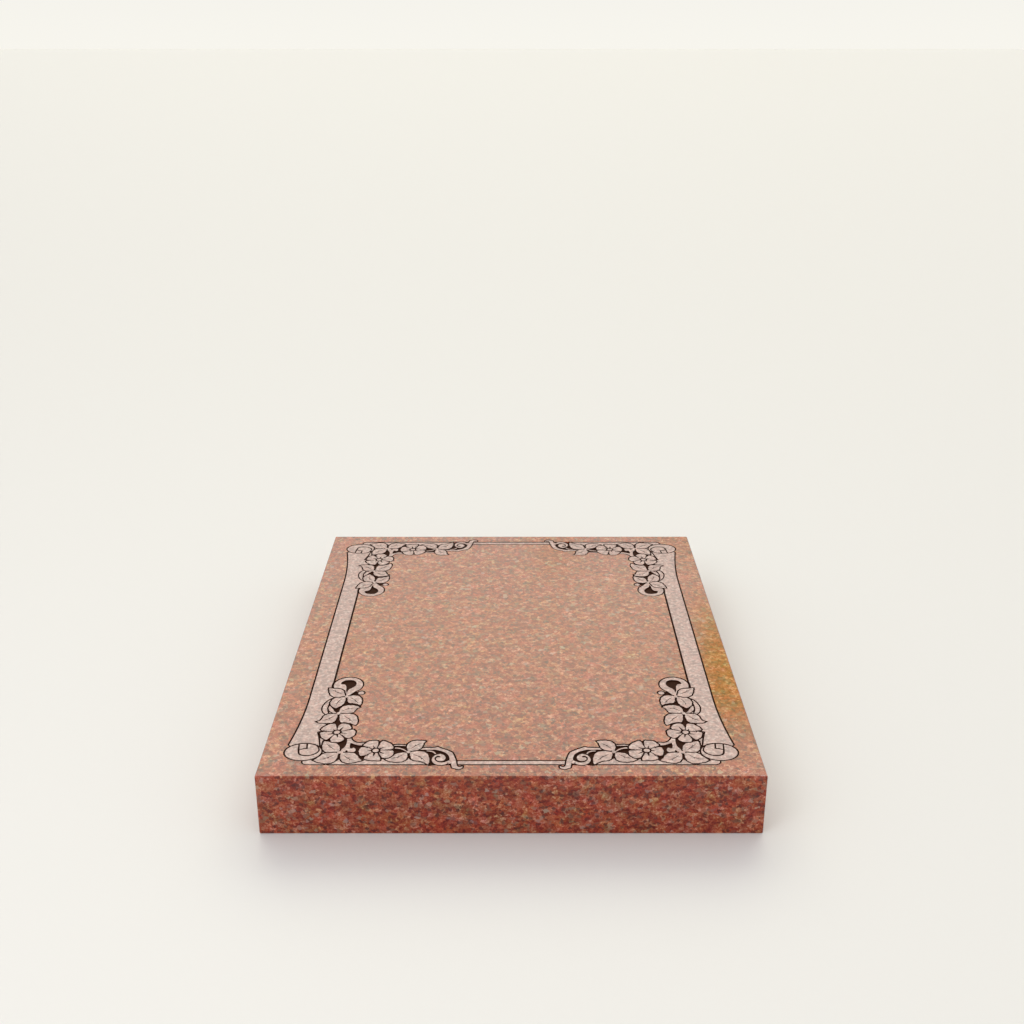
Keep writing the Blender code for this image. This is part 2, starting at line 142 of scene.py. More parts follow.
def lay_line(line, widths, kind="cut"):
    """A painted cut or a shallow vein that swells and thins along its way."""
    line = np.array(line, float)
    run = np.append(0, np.cumsum(np.hypot(*np.diff(line, axis=0).T)))
    laid.append((kind, line, np.interp(run / run[-1], np.linspace(0, 1, len(widths)), widths) / 2))


behind_leaves = closed(((90.0, 50.0), (250.0, 48.0), (250.0, 75.0), (121.0, 78.0), (121.0, 236.0),
                        (86.0, 236.0), (84.0, 136.0), (73.0, 122.0), (84.0, 66.0)))
lay_face(behind_leaves, 2.0)
flare = [(47.5 - (230.0 - y) ** 2 / 1770, y) for y in np.arange(230.0, 84.0, -8.0)]
lay_face(closed([(47.5, middle[1] + overrun)], flare, [(62.0, 67.0)],
                smooth(((90.0, 71.0), (86.5, 80.0), (84.0, 91.0), (81.0, 106.0), (76.3, 124.0))),
                [(92.0, 130.0), (92.0, 255.0)],
                smooth(((80.2, 262.0), (79.8, 272.0), (81.0, 286.0), (81.3, 302.0))),
                [(81.3, middle[1] + overrun)]), outline_cut)
inner_edge = [(80.4, 272.0), (80.9, 281.0)]
inner_edge += [(81.3, y) for y in np.arange(290.0, middle[1] + overrun, line_step)]
lay_line(inner_edge, (outline_cut,) + 11 * (3.5,))

# The front band. A narrow strip runs along the front between the corners, under the leaves.
# It is frosted like the scrolls and its lower line is cut a little wider.
past_middle = middle[0] + overrun
band_cut = 2.5
lay_face(closed([(past_middle, 43.0), (292.0, 43.0), (252.0, 55.0), (93.5, 55.0)],
                smooth(((64.0, 45.0), (64.3, 39.0), (66.5, 34.5), (72.0, 32.0))),
                [(past_middle, 32.0)]), band_cut)
lay_line([(x, 31.8) for x in np.arange(74.0, past_middle, line_step)], (band_cut,) + 11 * (3.1,))

# The rolled ends. Each side scroll ends in a roll seen end on, frosted like the strip.
# Two painted cuts across it draw the paper's inner fold and its torn tab.
lay_face(closed(arc((62.0, 67.0), (29.0, 24.0), 0, 360)), outline_cut)
lay_line(smooth(((52.5, 90.5), (54.0, 74.0), (56.5, 62.0), (62.0, 57.8), (70.0, 57.0), (78.0, 59.5),
                 (84.0, 65.5), (85.6, 71.5), (84.2, 78.0), (80.5, 84.0))), (2.2, 2.9, 3.1, 2.6, 1.8))
lay_line(((65.0, 91.2), (65.5, 84.0), (66.5, 76.8), (61.0, 76.0), (54.5, 73.0)), (2.3, 2.7, 2.9, 2.4))

# The dark hollows. Between the leaves the stencil is open, so the blast cuts deep pockets there.
# Each is laid wide and the leaves and stalks over it trim it to shape.


def lay_hollow(outline, rim=0.0):
    """A pocket cut to full depth, with a sloping rim where nothing lies over it."""
    laid.append(("hollow", closed(outline), rim))


lay_hollow(((106.0, 92.0), (119.0, 68.0), (127.0, 78.0), (131.0, 98.0), (124.0, 112.0)))
lay_hollow(((130.0, 97.0), (130.0, 77.0), (148.0, 74.0), (153.0, 88.0)))
lay_hollow(((120.0, 62.0), (127.0, 75.0), (150.0, 77.0), (152.0, 62.0)))
lay_hollow(((113.0, 66.0), (118.0, 43.0), (124.0, 66.0)))
lay_hollow(((219.0, 66.0), (226.0, 46.0), (231.0, 66.0)))
lay_hollow(((141.0, 66.0), (152.0, 62.0), (160.0, 49.0), (150.0, 44.0)))
lay_hollow(((104.0, 178.0), (95.0, 152.0), (104.0, 138.0), (115.0, 152.0)))
lay_hollow(((86.0, 95.0), (90.0, 104.0), (101.0, 100.0), (97.0, 90.0)))
lay_hollow(((83.0, 151.0), (89.0, 139.0), (96.0, 151.0)))
lay_hollow(((117.0, 152.0), (130.0, 150.0), (127.0, 137.0)))
lay_hollow(((78.0, 218.0), (80.0, 188.0), (97.0, 178.0), (88.0, 196.0)))
lay_hollow(((90.0, 196.0), (98.0, 180.0), (106.0, 200.0), (131.0, 203.0), (129.0, 212.0), (106.0, 218.0)))
lay_hollow(((194.0, 76.0), (194.0, 64.0), (221.0, 64.0), (214.0, 75.0)))
lay_hollow(((194.0, 84.0), (194.0, 77.0), (221.0, 74.0), (221.0, 83.5)))
lay_hollow(((244.0, 75.0), (258.0, 33.0), (284.0, 33.0), (288.0, 58.0), (272.0, 76.0)))
lay_hollow(((114.0, 236.0), (121.0, 250.0), (131.0, 245.0), (126.0, 235.0)))
lay_hollow(((184.0, 50.0), (190.0, 43.0), (198.0, 50.0)))
lay_hollow(((254.0, 45.0), (254.0, 30.0), (266.0, 30.0), (262.0, 45.0)))
lay_hollow(((285.0, 38.0), (286.5, 31.0), (291.0, 31.0), (291.0, 40.0)))

# The stalks and ribbons. Thin frosted bands tie the leaves to the flowers and curls. The stalk in the
# corner forks, and its short branch turns back in a knob. Another small knob stands by the side curl.


def band(points, widths):
    """The outline of a band of changing width along a smooth line."""
    line = smooth(points)
    step = np.gradient(line, axis=0)
    side = np.stack([-step[:, 1], step[:, 0]], axis=1) / np.hypot(*step.T)[:, None]
    run = np.linspace(0, 1, len(line))
    push = side * np.interp(run, np.linspace(0, 1, len(widths)), widths)[:, None] / 2
    return closed(line + push, (line - push)[::-1])


stalk_cut = 2.5
lay_face(closed(smooth(((122.0, 118.0), (123.2, 109.4), (124.5, 95.5), (123.8, 85.0), (121.0, 77.8),
                        (117.2, 72.3), (114.5, 68.0))),
                smooth(((118.9, 60.8), (123.0, 63.2), (126.6, 66.6), (128.2, 70.6))),
                smooth(((128.2, 70.6), (130.0, 66.2), (133.5, 64.4), (138.5, 64.8), (142.4, 68.4),
                        (143.0, 73.5), (141.0, 78.2), (137.8, 79.8), (134.8, 78.0))),
                smooth(((133.6, 78.8), (132.6, 84.0), (132.8, 90.8))),
                smooth(((132.8, 90.8), (135.6, 89.0), (139.4, 87.0), (144.6, 84.8), (150.5, 84.4),
                        (158.0, 84.0))),
                smooth(((158.0, 94.2), (150.1, 94.2), (144.7, 93.6), (139.5, 95.4), (135.3, 99.8),
                        (132.6, 105.0), (131.5, 114.0)))), stalk_cut)
lay_face(band(((86.0, 174.0), (79.3, 186.0), (77.4, 198.0), (78.6, 209.0), (82.5, 219.0), (92.0, 230.0)),
              (5.0, 9.0, 10.2, 8.4, 7.0, 5.5)), stalk_cut)
lay_face(band(((101.0, 180.0), (95.5, 182.3), (90.2, 187.6), (86.2, 196.0), (84.4, 206.0)),
              (4.0, 6.5, 9.6, 7.6, 3.0)), stalk_cut)
lay_face(band(((195.0, 76.5), (205.0, 78.0), (214.0, 74.5), (222.0, 67.0)), (4.4, 5.2, 5.0, 4.0)), stalk_cut)
lay_face(band(((195.0, 85.3), (208.0, 85.6), (221.0, 84.8)), (4.8, 4.8)), stalk_cut)
lay_face(band(((250.0, 70.5), (258.0, 69.0), (263.0, 65.6), (265.8, 60.0)), (5.0, 5.0, 5.0, 4.4)), stalk_cut)
lay_face(closed(arc((131.0, 245.2), (6.2, 6.2), 0, 360)), stalk_cut)

# The curl above the side leaves. A rounded hook is frosted round a deep comma-shaped eye,
# and its foot tucks in behind the topmost leaf.
lay_face(closed(arc((106.5, 271.5), (25.5, 26.6), -52, 262),
                smooth(((103.0, 246.2), (104.5, 239.0), (108.0, 234.0), (113.5, 238.0), (122.2, 251.4)))),
         stalk_cut)
lay_hollow(smooth(((104.6, 254.0), (107.0, 246.5), (108.2, 253.5), (110.8, 258.6), (115.0, 263.0),
                   (118.8, 268.8), (120.0, 276.0), (117.8, 283.2), (113.4, 287.4), (107.0, 288.4),
                   (100.0, 287.0), (95.2, 283.0), (93.2, 276.6), (96.6, 274.0), (100.4, 273.0),
                   (103.0, 268.0), (104.4, 261.0))), 1.2)
lay_line(smooth(((109.0, 243.0), (112.5, 248.5), (118.5, 254.5))), (0.8, 1.5, 0.6), "vein")

# The ringed scroll. An arched ribbon springs from the last leaf and hooks over the band's line,
# and its lower side winds back on itself as a ring round a deep spiral gap.


def lay_join(outline):
    """A place where two frosted faces run into each other with no cut between."""
    laid.append(("join", closed(outline), 0.7))


lay_face(closed(arc((274.6, 46.4), (15.3, 16.6), 0, 360)), stalk_cut)
lay_line(smooth(((271.0, 65.8), (277.7, 61.8), (282.2, 56.3), (283.6, 50.2), (282.2, 44.2), (278.3, 40.6),
                 (273.1, 40.0), (268.6, 42.2), (265.8, 46.6), (266.2, 51.2), (269.4, 54.2), (273.4, 52.6))),
         (6.6, 5.8, 5.0, 4.8, 4.8, 5.0, 5.2, 4.8, 3.8, 2.6, 2.1, 2.6, 3.8, 4.0))
lay_face(closed(smooth(((240.0, 78.0), (248.0, 79.2), (256.2, 79.4), (263.0, 80.2), (267.8, 81.8),
                        (274.0, 78.0), (282.1, 73.4), (289.8, 67.6), (292.6, 63.6), (295.8, 53.7),
                        (298.2, 43.2), (299.6, 33.5), (301.2, 28.2), (304.4, 27.2), (306.4, 29.2))),
                smooth(((309.0, 28.6), (308.6, 23.2), (304.4, 19.8), (299.5, 19.0), (295.5, 21.4),
                        (291.5, 23.2), (290.0, 29.5), (288.6, 36.3), (286.2, 43.2), (286.0, 50.2),
                        (283.2, 59.0), (277.8, 65.3), (271.5, 69.2), (264.0, 72.0), (256.7, 71.6),
                        (248.0, 72.0), (240.0, 72.0)))), stalk_cut)
lay_join(((282.6, 40.6), (286.6, 45.0), (292.4, 36.6), (287.0, 34.0)))

# The leaves. Each is drawn from its stalk to its point down one side and back up the other,
# with small saw teeth all round, a painted vein down its middle and two short side veins.
tooth = 0.8
leaf_teeth = 11
leaf_cut = 2.6
root_join = (3.6, 4.4)


def toothed(outline, teeth):
    """The same closed outline with small saw teeth all round."""
    step = np.roll(outline, -1, axis=0) - np.roll(outline, 1, axis=0)
    out = np.stack([step[:, 1], -step[:, 0]], axis=1) / np.hypot(*step.T)[:, None]
    rise = (np.arange(len(outline)) * teeth / len(outline)) % 1.0
    return outline + out * (tooth * (rise - 0.4))[:, None]


def lay_leaf(root, out, tip, back, vein):
    """A leaf from its root out to its tip and back, each side through the points given."""
    outline = closed(smooth((root,) + out + (tip,))[:-1], smooth((tip,) + back + (root,))[:-1])
    lay_face(toothed(outline, leaf_teeth), leaf_cut)
    middle_vein = smooth(vein)
    lay_line(middle_vein, (0.4, 1.1, 1.3, 1.0, 0.4))
    along = (middle_vein[-1] - middle_vein[0]) / math.dist(middle_vein[-1], middle_vein[0])
    for part, turn in ((0.4, 0.7), (0.62, -0.7)):
        foot = middle_vein[round(part * (len(middle_vein) - 1))]
        twist = np.array([along[0] * math.cos(turn) - along[1] * math.sin(turn),
                          along[0] * math.sin(turn) + along[1] * math.cos(turn)])
        lay_line(smooth((foot + 0.4 * twist, foot + 5.4 * twist)), (0.9, 0.8, 0.3))


lay_leaf((117.5, 65.0), ((112.0, 66.0), (104.0, 66.0), (97.0, 65.5), (92.0, 61.5), (87.5, 54.5)),
         (79.5, 44.0),
         ((85.0, 39.8), (93.5, 36.3), (103.5, 34.6), (110.5, 37.2), (115.3, 43.5), (117.3, 52.0)),
         ((111.0, 59.5), (104.0, 53.0), (97.0, 48.5), (90.0, 46.0)))
lay_leaf((119.5, 65.0), ((119.2, 54.0), (121.8, 44.5), (126.8, 38.3), (133.5, 35.5), (142.0, 36.8),
                         (149.0, 39.6)), (156.5, 43.5),
         ((151.2, 50.0), (147.2, 57.5), (141.2, 64.4), (133.0, 66.0), (125.0, 66.3)),
         ((125.0, 58.5), (130.0, 52.0), (136.0, 47.5), (143.5, 44.5)))
lay_leaf((118.0, 66.5), ((118.4, 75.0), (116.3, 84.0), (111.5, 91.0), (104.0, 95.5), (97.0, 97.0)),
         (89.5, 98.5),
         ((88.0, 90.0), (88.2, 82.0), (90.2, 73.5), (94.5, 67.5), (101.5, 66.0), (110.0, 66.3)),
         ((111.0, 71.5), (105.0, 78.0), (99.0, 84.5), (94.0, 90.5)))
lay_leaf((101.5, 180.5), ((92.5, 180.0), (84.5, 178.5), (79.5, 174.5), (77.0, 168.5), (76.2, 162.5),
                          (73.6, 158.0)), (68.4, 155.0),
         ((72.5, 151.2), (80.0, 149.6), (90.0, 149.8), (96.8, 152.0), (100.5, 158.5), (102.0, 169.0)),
         ((96.5, 173.5), (91.0, 166.5), (84.5, 160.5), (77.5, 157.0)))
lay_leaf((103.0, 180.0), ((103.8, 168.0), (105.5, 158.0), (108.5, 152.3), (116.0, 151.8), (124.0, 149.0)),
         (134.0, 142.5),
         ((136.6, 151.0), (136.0, 159.0), (134.3, 167.0), (131.0, 174.0), (125.5, 178.8), (117.0, 180.8),
          (110.0, 180.8)),
         ((110.5, 174.0), (116.5, 167.5), (122.5, 161.0), (128.5, 152.0)))
lay_leaf((101.0, 182.5), ((107.0, 180.6), (115.0, 180.4), (122.0, 181.0), (126.5, 184.0), (128.8, 190.0),
                          (131.0, 195.5)), (136.0, 199.5),
         ((130.5, 203.6), (123.5, 206.3), (115.5, 206.8), (108.0, 204.3), (103.3, 199.0), (101.0, 191.5)),
         ((106.5, 187.5), (112.5, 192.5), (119.5, 195.8), (127.5, 198.0)))
lay_leaf((107.5, 233.5), ((99.5, 232.2), (90.5, 230.5), (85.8, 225.5), (83.4, 218.5), (83.2, 210.5),
                          (86.5, 202.5)), (95.0, 194.5),
         ((100.3, 200.0), (104.8, 205.5), (107.6, 212.0), (108.7, 219.5), (108.5, 227.0)),
         ((101.5, 226.0), (97.5, 219.5), (95.3, 212.0), (95.0, 204.0)))
lay_leaf((108.5, 235.0), ((109.5, 226.0), (110.8, 218.0), (113.8, 212.6), (121.0, 211.0), (128.0, 208.6)),
         (134.5, 203.5),
         ((136.3, 212.0), (135.8, 221.5), (133.5, 230.0), (128.5, 236.0), (121.5, 238.2), (114.0, 237.2)),
         ((115.0, 230.0), (120.0, 225.5), (125.0, 219.5), (129.5, 211.5)))
lay_leaf((107.0, 235.5), ((104.5, 243.0), (102.8, 250.0), (99.0, 256.5), (92.0, 260.0), (84.0, 260.8)),
         (74.0, 262.5),
         ((75.8, 252.0), (78.2, 243.0), (82.5, 235.2), (88.5, 231.3), (96.5, 231.4), (103.0, 233.6)),
         ((101.0, 240.5), (94.5, 245.5), (87.5, 250.5), (80.5, 256.5)))
lay_leaf((222.5, 69.5), ((230.5, 69.2), (238.5, 72.0), (243.2, 77.5), (245.3, 84.5), (246.4, 91.0)),
         (250.0, 98.0),
         ((241.5, 99.8), (233.0, 99.8), (226.0, 97.3), (221.4, 92.0), (219.2, 85.0), (219.4, 76.5)),
         ((226.0, 75.5), (231.0, 81.5), (236.0, 87.0), (242.5, 92.5)))
lay_leaf((222.5, 66.0), ((216.0, 66.6), (208.5, 64.8), (201.5, 60.5), (196.0, 54.0)), (188.5, 46.5),
         ((194.0, 41.6), (201.5, 39.0), (209.5, 38.3), (217.0, 40.6), (222.2, 46.0), (223.9, 55.5)),
         ((217.0, 60.5), (211.0, 55.0), (204.5, 50.5), (197.0, 47.5)))
lay_leaf((224.5, 66.5), ((226.0, 56.0), (228.3, 48.0), (232.0, 43.6), (239.0, 41.8), (246.0, 39.2),
                         (251.0, 35.0)), (256.5, 30.5),
         ((258.2, 41.0), (257.2, 51.0), (254.8, 60.0), (250.5, 66.5), (243.5, 69.8), (233.5, 70.0)),
         ((230.5, 61.0), (237.0, 56.5), (244.0, 51.0), (250.5, 42.5)))
for root in ((117.2, 66.2), (120.6, 66.4), (101.8, 180.4), (108.2, 233.8), (223.6, 67.4)):
    lay_join(arc(root, root_join, 0, 360, 0.9))

# The flowers. Five broad frosted petals lie round a small disc that has a cut of its own round it.
# The notches between the petals run in as cuts, and a short stroke goes out along each petal.
flower_teeth = 21
flower_cut = 2.7
disc_radius = 6.2
disc_cut = 3.0
notch_foot = 6.6


def lay_flower(centre, petals, strokes):
    """A flower from its petals, each a row of points from one notch to the next, and its strokes."""
    sides = [smooth(petal) for petal in petals]
    lay_face(toothed(closed(*sides), flower_teeth), flower_cut)
    for petal in petals:
        inner = np.array(centre) + notch_foot * (np.array(petal[0]) - centre) / math.dist(petal[0], centre)
        lay_line(smooth((petal[0], inner)), (2.9, 1.7, 1.3))
    for start, stop, widths in strokes:
        lay_line(smooth((start, stop)), widths)
    lay_face(closed(arc(centre, (disc_radius, disc_radius), 0, 360, 1.0)), disc_cut)


lay_flower((106.5, 123.3),
           (((105.0, 139.5), (102.5, 147.0), (98.0, 149.8), (91.5, 148.0), (86.0, 143.5), (81.5, 137.5),
             (79.2, 131.0), (83.0, 127.6), (90.0, 126.0)),
            ((90.0, 126.0), (84.0, 125.3), (80.0, 123.0), (80.0, 116.5), (82.6, 109.5), (86.6, 104.0),
             (91.5, 101.0), (95.5, 102.2), (98.5, 107.5)),
            ((98.5, 107.5), (98.0, 100.5), (100.5, 95.2), (108.0, 93.4), (116.0, 95.3), (120.6, 100.5),
             (121.0, 106.0), (117.5, 112.0)),
            ((117.5, 112.0), (121.0, 107.5), (126.0, 105.6), (131.0, 107.5), (135.2, 113.0), (136.8, 120.5),
             (135.6, 128.0), (131.5, 132.0), (124.5, 130.5)),
            ((124.5, 130.5), (128.3, 133.5), (128.0, 139.5), (124.5, 145.5), (118.5, 149.6), (111.5, 149.8),
             (107.3, 146.5), (105.0, 139.5))),
           (((110.5, 129.0), (114.8, 139.0), (3.6, 2.6, 0.6)),
            ((112.5, 121.5), (123.5, 119.3), (3.2, 2.0, 0.5)),
            ((107.5, 117.8), (109.8, 107.5), (3.4, 2.6, 0.6)),
            ((101.5, 119.5), (92.5, 116.5), (3.0, 2.0, 0.5)),
            ((102.0, 127.5), (99.6, 133.5), (2.6, 1.6, 0.5))))
lay_flower((172.8, 71.2),
           (((176.5, 88.0), (175.5, 96.0), (172.0, 99.8), (164.5, 99.3), (157.5, 96.8), (154.0, 91.0),
             (151.0, 86.0), (153.5, 82.5), (160.0, 80.0)),
            ((160.0, 80.0), (152.5, 81.3), (147.8, 79.0), (146.0, 71.0), (147.0, 62.5), (150.0, 56.5),
             (154.0, 55.3), (160.5, 58.5)),
            ((160.5, 58.5), (156.6, 53.5), (157.0, 47.5), (163.0, 44.0), (172.5, 42.6), (181.0, 42.6),
             (183.6, 45.5), (182.2, 52.0), (179.3, 59.0)),
            ((179.3, 59.0), (183.3, 51.5), (189.0, 48.8), (195.6, 51.0), (200.4, 57.0), (202.0, 65.0),
             (200.0, 71.3), (190.5, 72.8)),
            ((190.5, 72.8), (199.5, 74.8), (200.0, 82.0), (195.8, 90.0), (189.0, 96.0), (182.0, 99.5),
             (178.2, 96.0), (176.5, 88.0))),
           (((167.5, 71.0), (159.5, 70.5), (3.0, 2.0, 0.5)),
            ((170.6, 76.4), (167.6, 85.5), (2.6, 1.7, 0.5)),
            ((177.5, 75.0), (186.0, 80.6), (3.4, 2.2, 0.5)),
            ((178.3, 67.6), (187.2, 61.4), (3.4, 2.2, 0.5)),
            ((171.8, 65.5), (170.6, 54.5), (3.8, 3.0, 0.6)),
            ((177.0, 66.0), (180.0, 59.0), (2.6, 1.8, 1.4))))

# The cutting of the top. The drawing is turned into one map of triangles whose edges follow the cuts,
# each point is sunk to its depth, and the quarter is mirrored across the stone and set on the blank.
swell = 0.1
swell_width = 2.2
vein_depth = 0.5
paint_starts = 0.985
farthest_cut = 12.0
on_the_line = 0.005
same_level = 0.2
frosted_from = -0.05
sliver = 0.4
touching = 0.00001
batch = 4000


def inside(points, polygon):
    """Which points lie inside a closed outline."""
    x = points[:, 0][:, None]
    y = points[:, 1][:, None]
    ax, ay = polygon.T
    bx, by = np.roll(polygon, -1, axis=0).T
    crosses = (ay > y) != (by > y)
    rise = np.where(np.abs(by - ay) < 1e-12, 1e-12, by - ay)
    return (np.sum(crosses & (x < (bx - ax) * (y - ay) / rise + ax), axis=1) % 2).astype(bool)


def nearest(points, line, is_closed):
    """Distance of each point from a line, with the place along it."""
    start = line if is_closed else line[:-1]
    end = np.roll(line, -1, axis=0) if is_closed else line[1:]
    way = end - start
    length2 = np.maximum((way ** 2).sum(1), 1e-12)
    gap = np.full(len(points), np.inf)
    place = np.zeros(len(points))
    for first in range(0, len(points), batch):
        part = slice(first, first + batch)
        rel = points[part, None] - start[None]
        t = np.clip((rel * way).sum(2) / length2, 0, 1)
        far = np.sqrt(((rel - t[..., None] * way) ** 2).sum(2))
        best = far.argmin(1)
        rows = np.arange(len(best))
        gap[part] = far[rows, best]
        place[part] = best + t[rows, best]
    return gap, place


def depths(points):
    """For each point its depth, its share of the way out of a cut, and the depth outside any cut."""
    level = np.zeros(len(points))
    share = np.ones(len(points))
    soft = np.ones(len(points))
    for kind, outline, reach in laid:
        low_side = outline.min(0) - farthest_cut
        high_side = outline.max(0) + farthest_cut
        some = np.flatnonzero(np.all((points > low_side) & (points < high_side), axis=1))
        if not len(some):
            continue
        gap, at = nearest(points[some], outline, kind not in ("cut", "vein"))
        if kind in ("cut", "vein"):
            last = len(outline) - 1
            half = np.interp(at, np.arange(last + 1), reach)
            fade = 1 - np.minimum(1, np.minimum(at, last - at))
            part_way = 1 - (1 - np.clip(np.maximum(gap / half, fade), 0, 1)) * np.minimum(1, half)
            kept = share if kind == "cut" else soft
            kept[some] = np.minimum(kept[some], part_way)
            continue
        within = inside(points[some], outline) & (gap > on_the_line)
        held = some[within]
        if kind == "join":
            way_in = np.clip(gap[within] / reach, 0, 1)
            share[held] = np.maximum(share[held], way_in)
            level[held] += (-frost_depth - swell - level[held]) * way_in
            continue
        share[held] = 1
        soft[held] = 1
        if kind == "face":
            fall = 1 - np.clip((gap[within] - reach) / swell_width, 0, 1)
            level[held] = -frost_depth - swell * fall
            share[some] = np.minimum(share[some], gap / reach)
        else:
            way_in = np.clip(gap[within] / max(reach, 0.01), 0, 1)
            level[held] += (-cut_depth - level[held]) * way_in
    share = np.where(share > paint_starts, 1, share)
    return -cut_depth + (level + cut_depth) * share - vein_depth * (1 - soft) * (share == 1), share, level


def side_ways(line, is_closed):
    """Left-hand normals of a line at its points, stretched a little at corners."""
    before = np.roll(line, 1, axis=0)
    after = np.roll(line, -1, axis=0)
    if not is_closed:
        before[0] = 2 * line[0] - line[1]
        after[-1] = 2 * line[-1] - line[-2]
    first = line - before
    second = after - line
    first = first / np.maximum(np.hypot(*first.T), 1e-9)[:, None]
    second = second / np.maximum(np.hypot(*second.T), 1e-9)[:, None]
    between = first + second
    size = np.maximum(np.hypot(*between.T), 0.5)
    stretch = np.minimum(2 / size, 1.6) / size
    return np.stack([-between[:, 1], between[:, 0]], axis=1) * stretch[:, None]


def uncovered(line, covers):
    """The stretches of a line that no later shape covers and that lie in the drawn quarter."""
    start = line[:-1]
    way = line[1:] - start
    marks = [[0.0, 1.0] for _ in start]
    low_end = np.minimum(start, line[1:])
    high_end = np.maximum(start, line[1:])
    for k in (0, 1):
        for limit in (near_corner[k], middle[k]):
            for i in np.flatnonzero((low_end[:, k] < limit) & (high_end[:, k] > limit)):
                marks[i].append((limit - start[i, k]) / way[i, k])
    covers = [cover for cover in covers
              if np.all(cover.min(0) < high_end.max(0)) and np.all(cover.max(0) > low_end.min(0))]
    for cover in covers:
        span = np.roll(cover, -1, axis=0) - cover
        off = cover[None] - start[:, None]
        cross = way[:, None, 0] * span[None, :, 1] - way[:, None, 1] * span[None, :, 0]
        safe = np.where(np.abs(cross) < 1e-9, 1.0, cross)
        t = (off[..., 0] * span[None, :, 1] - off[..., 1] * span[None, :, 0]) / safe
        u = (off[..., 0] * way[:, None, 1] - off[..., 1] * way[:, None, 0]) / safe
        met = (np.abs(cross) > 1e-9) & (u >= 0) & (u <= 1) & (t > 0) & (t < 1)
        for i, j in zip(*np.nonzero(met)):
            marks[i].append(t[i, j])
    pieces = []
    for i, places in enumerate(marks):
        places = sorted(places)
        for first, last in zip(places[:-1], places[1:]):
            if last - first > 1e-6:
                pieces.append((start[i] + way[i] * first, start[i] + way[i] * last))
    if not pieces:
        return pieces
    centres = np.array([(a + b) / 2 for a, b in pieces])
    shown = np.all((centres > near_corner) & (centres < middle), axis=1)
    for cover in covers:
        shown &= ~inside(centres, cover)
    return [piece for piece, seen in zip(pieces, shown) if seen]


def round_again(outline):
    """An outline with its first point again at the end."""
    return np.vstack([outline, outline[:1]])


def ruled_lines():
    """All the lines that the map's triangles have to follow, as points and the edges between them."""
    points = [near_corner, np.array([middle[0], near_corner[1]]), middle,
              np.array([near_corner[0], middle[1]])]
    edges = [(0, 1), (1, 2), (2, 3), (3, 0)]

    def rule(line, covers):
        for a, b in uncovered(line, covers):
            points.extend((a, b))
            edges.append((len(points) - 2, len(points) - 1))

    for place, (kind, outline, reach) in enumerate(laid):
        above = [shape for shape in laid[place + 1:] if shape[0] not in ("cut", "vein")]
        covers = [shape[1] for shape in above]
        wide = [shape[1] - side_ways(shape[1], True) * shape[2] for shape in above]
        if kind in ("cut", "vein"):
            rule(outline, covers)
            push = side_ways(outline, False) * reach[:, None]
            push[[0, -1]] = 0
            rule(round_again(np.vstack([outline + push, (outline - push)[-2:0:-1]])), wide)
            continue
        rule(round_again(outline), covers)
        steps = [reach, -reach, reach + swell_width] if kind == "face" else [reach]
        for step in steps:
            moved = outline + side_ways(outline, True) * step
            kept = nearest(moved, outline, True)[0] > 0.93 * abs(step)
            if step and kept.sum() > 2:
                rule(round_again(moved[kept]), wide)
    return np.array(points), edges


def drawn_together(points, edges, near, crowd):
    """The same lines with points made one where they are near, or crowd together at one level."""
    depth = depths(points)[0]
    on_rim = np.any((np.abs(points - near_corner) < 0.01) | (np.abs(points - middle) < 0.01), axis=1)
    tree = KDTree(len(points))
    for i, (x, y) in enumerate(points):
        tree.insert((x, y, 0), i)
    tree.balance()
    home = np.full(len(points), -1)
    kept = []
    for i in np.lexsort((depth, ~on_rim)):
        if home[i] >= 0:
            continue
        home[i] = len(kept)
        kept.append(i)
        for _, j, gap in tree.find_range((points[i, 0], points[i, 1], 0), crowd):
            alike = gap < near or abs(depth[i] - depth[j]) < same_level
            if home[j] < 0 and alike and (not on_rim[j] or gap < 0.01):
                home[j] = home[i]
    joined = {tuple(sorted((home[a], home[b]))) for a, b in edges if home[a] != home[b]}
    return points[kept], sorted(joined)


def netted(points, edges):
    """A net of triangles that keeps the given edges: its points, those edges, and its faces."""
    net = delaunay_2d_cdt([Vector(point) for point in points], edges, [], 0, 0.0001)
    kept = [edge for edge, source in zip(net[1], net[4]) if source]
    return np.array([tuple(point) for point in net[0]]), kept, np.array([tuple(face) for face in net[2]])


points, edges = drawn_together(*ruled_lines(), 0.12, 0.3)
for _ in range(2):
    points, edges, _ = netted(points, edges)
    points, edges = drawn_together(points, edges, 0.2, 0.5)
points, _, faces = netted(points, edges)
corners = points[faces]
depth = depths(points)[0]
_, share, level = depths(corners.mean(axis=1))
frosted_floor = -frost_depth - swell - 0.1
spread = np.abs(np.cross(corners[:, 1] - corners[:, 0], corners[:, 2] - corners[:, 0])) / 2
deep = (depth[faces] < frosted_floor - same_level).sum(axis=1)
in_cut = (share < 1) | (level < frosted_floor) | (deep > 1) | ((deep == 1) & (spread < sliver))
polish, frost, paint = range(3)
finish_of_face = np.where(in_cut, paint, np.where(level < frosted_from, frost, polish))
places = np.column_stack([points * mm - (width / 2, length / 2), thickness + depth * mm])
sheet = bpy.data.meshes.new("cut_quarter")
sheet.from_pydata(places.tolist(), [], faces.tolist())
sheet.polygons.foreach_set("material_index", finish_of_face.astype(np.int32))
cut_top = bpy.data.objects.new("cut_quarter", sheet)
scene.collection.objects.link(cut_top)


def pick(*objects):
    """Select these objects alone, with the last one active."""
    bpy.ops.object.select_all(action="DESELECT")
    for picked in objects:
        picked.select_set(True)
    bpy.context.view_layer.objects.active = objects[-1]


